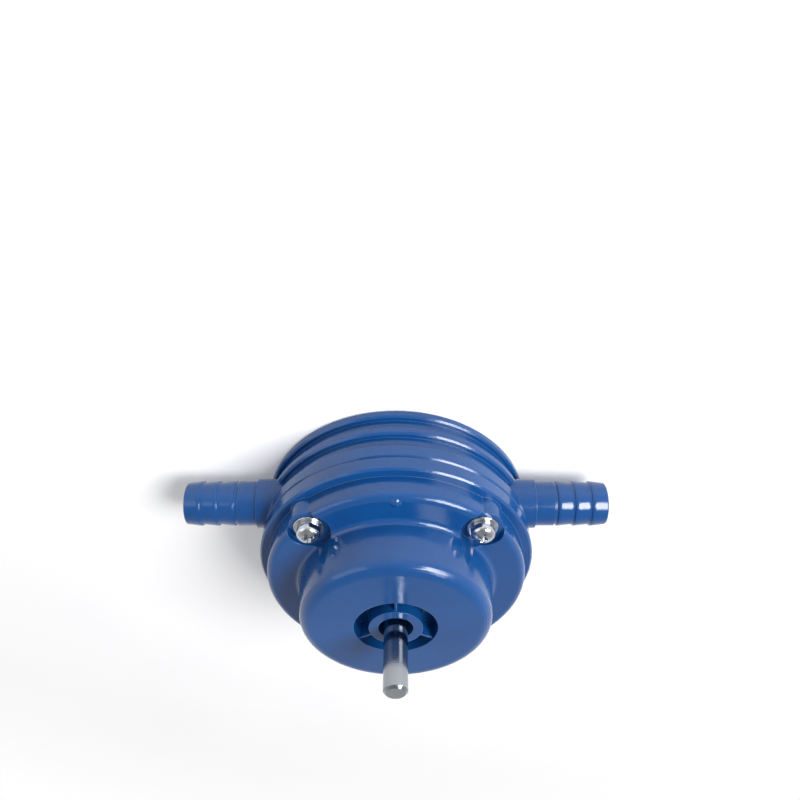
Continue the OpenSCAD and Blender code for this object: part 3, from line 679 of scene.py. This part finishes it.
# Within the first radius in mm the floor is matt and keeps the shadow, and past the second it is plain white.
SHADOW_ROOM = (170, 430)
AMBIENT = (0.36, 0.36, 0.37, 1)

board, tree, mm = new_material("white_board_matt")
fibre = add(tree, "ShaderNodeTexNoise", {"Scale": 1 / 60, "Detail": 3.0}, {"Vector": mm})
tone = add(tree, "ShaderNodeMix", {"A": linear("#e9e9ea"), "B": linear("#f0f0f0")},
           {"Factor": fibre.outputs["Fac"]}, data_type="RGBA")
matt = add(tree, "ShaderNodeBsdfDiffuse", links={"Color": tone.outputs["Result"]})
rays = add(tree, "ShaderNodeLightPath")
seen = add(tree, "ShaderNodeMath", links={0: rays.outputs["Is Camera Ray"], 1: rays.outputs["Is Glossy Ray"]},
           operation="MAXIMUM")
through = add(tree, "ShaderNodeMath", links={0: seen.outputs[0], 1: rays.outputs["Is Transmission Ray"]},
              operation="MAXIMUM")
level = add(tree, "ShaderNodeMath", {1: GLOW}, {0: through.outputs[0]}, operation="MULTIPLY")
glow = add(tree, "ShaderNodeEmission", {"Color": (1, 1, 1, 1)}, {"Strength": level.outputs[0]})
near = add(tree, "ShaderNodeAddShader", links={0: matt.outputs["BSDF"], 1: glow.outputs["Emission"]})
away = add(tree, "ShaderNodeVectorMath", links={0: mm}, operation="LENGTH")
fade = add(tree, "ShaderNodeMapRange", {"From Min": SHADOW_ROOM[0], "From Max": SHADOW_ROOM[1]},
           {"Value": away.outputs["Value"]}, interpolation_type="SMOOTHSTEP")
white = add(tree, "ShaderNodeMath", links={0: fade.outputs["Result"], 1: through.outputs[0]}, operation="MULTIPLY")
plain = add(tree, "ShaderNodeEmission", {"Color": (1, 1, 1, 1), "Strength": 1.0})
both = add(tree, "ShaderNodeMixShader", links={0: white.outputs[0], 1: near.outputs["Shader"],
                                               2: plain.outputs["Emission"]})
add(tree, "ShaderNodeOutputMaterial", links={"Surface": both.outputs["Shader"]})
floor_mesh.materials.append(board)

world = bpy.data.worlds.new("studio")
bpy.context.scene.world = world
world.use_nodes = True
tree = world.node_tree
tree.nodes.clear()
rays = add(tree, "ShaderNodeLightPath")
toward = add(tree, "ShaderNodeTexCoord")
height = add(tree, "ShaderNodeSeparateXYZ", links={"Vector": toward.outputs["Generated"]})
ceiling = add(tree, "ShaderNodeMapRange", {"From Min": 0.15, "From Max": 0.85, "To Min": 1.0, "To Max": 0.35},
              {"Value": height.outputs["Z"]})
mirrored = add(tree, "ShaderNodeMath",
               links={0: rays.outputs["Is Glossy Ray"], 1: rays.outputs["Is Transmission Ray"]},
               operation="MAXIMUM")
room = add(tree, "ShaderNodeMix", {"A": AMBIENT},
           {"Factor": mirrored.outputs[0], "B": ceiling.outputs["Result"]}, data_type="RGBA")
behind = add(tree, "ShaderNodeMix", {"B": (1, 1, 1, 1)},
             {"Factor": rays.outputs["Is Camera Ray"], "A": room.outputs["Result"]}, data_type="RGBA")
sky = add(tree, "ShaderNodeBackground", {"Strength": 1.0}, {"Color": behind.outputs["Result"]})
add(tree, "ShaderNodeOutputWorld", links={"Surface": sky.outputs["Background"]})
bpy.context.scene.view_settings.view_transform = "Standard"

# %% [markdown]
# ## Lamps
# A broad soft lamp stands on the outlet's side and gives the long highlights on the shoulder and nose. A weaker
# one on the inlet's side keeps the shaded side readable.

# %% Lamps
def soft_lamp(name, place, size, power):
    """A square area lamp that points at the middle of the cover."""
    data = bpy.data.lights.new(name, "AREA")
    data.size = size
    data.energy = power
    lamp = bpy.data.objects.new(name, data)
    bpy.context.scene.collection.objects.link(lamp)
    aim = Vector((0, 0, 0.04)) - Vector(place)
    lamp.matrix_world = Matrix.Translation(place) @ aim.to_track_quat("-Z", "Y").to_matrix().to_4x4()
    return lamp


soft_lamp("key_lamp", (-0.6, -0.5, 0.78), 0.5, 14.0)
soft_lamp("fill_lamp", (0.9, -0.6, 0.6), 0.8, 2.0)
